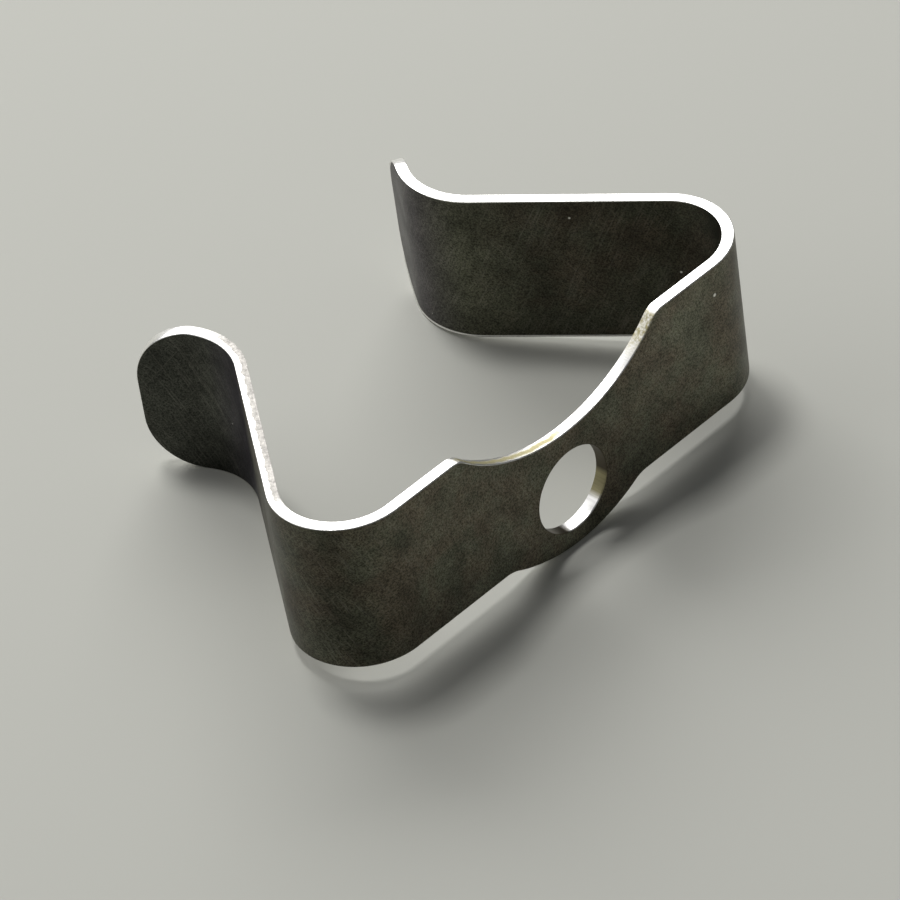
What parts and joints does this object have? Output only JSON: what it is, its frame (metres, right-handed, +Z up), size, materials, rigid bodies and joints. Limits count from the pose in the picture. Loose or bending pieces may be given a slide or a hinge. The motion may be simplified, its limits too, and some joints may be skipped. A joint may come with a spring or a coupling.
{
  "type": "spring clip",
  "caption": "Folded strip-steel spring clip: flat back with a screw hole in a scalloped eye, legs that lean in and lips that flare out to take a round handle.",
  "frame": {"origin": "centre of the clip in X and Y, at the lowest point of the eye lug", "axes": "+X along the back, +Y from the back's outer face towards the open mouth, +Z up across the strip's width"},
  "size_m": [0.041, 0.0284, 0.0137],
  "materials": {
    "steel": "bare rolled spring steel, satin faces, bright sheared edges"
  },
  "bodies": {
    "root": {"clip": "steel"}
  },
  "joints": []
}
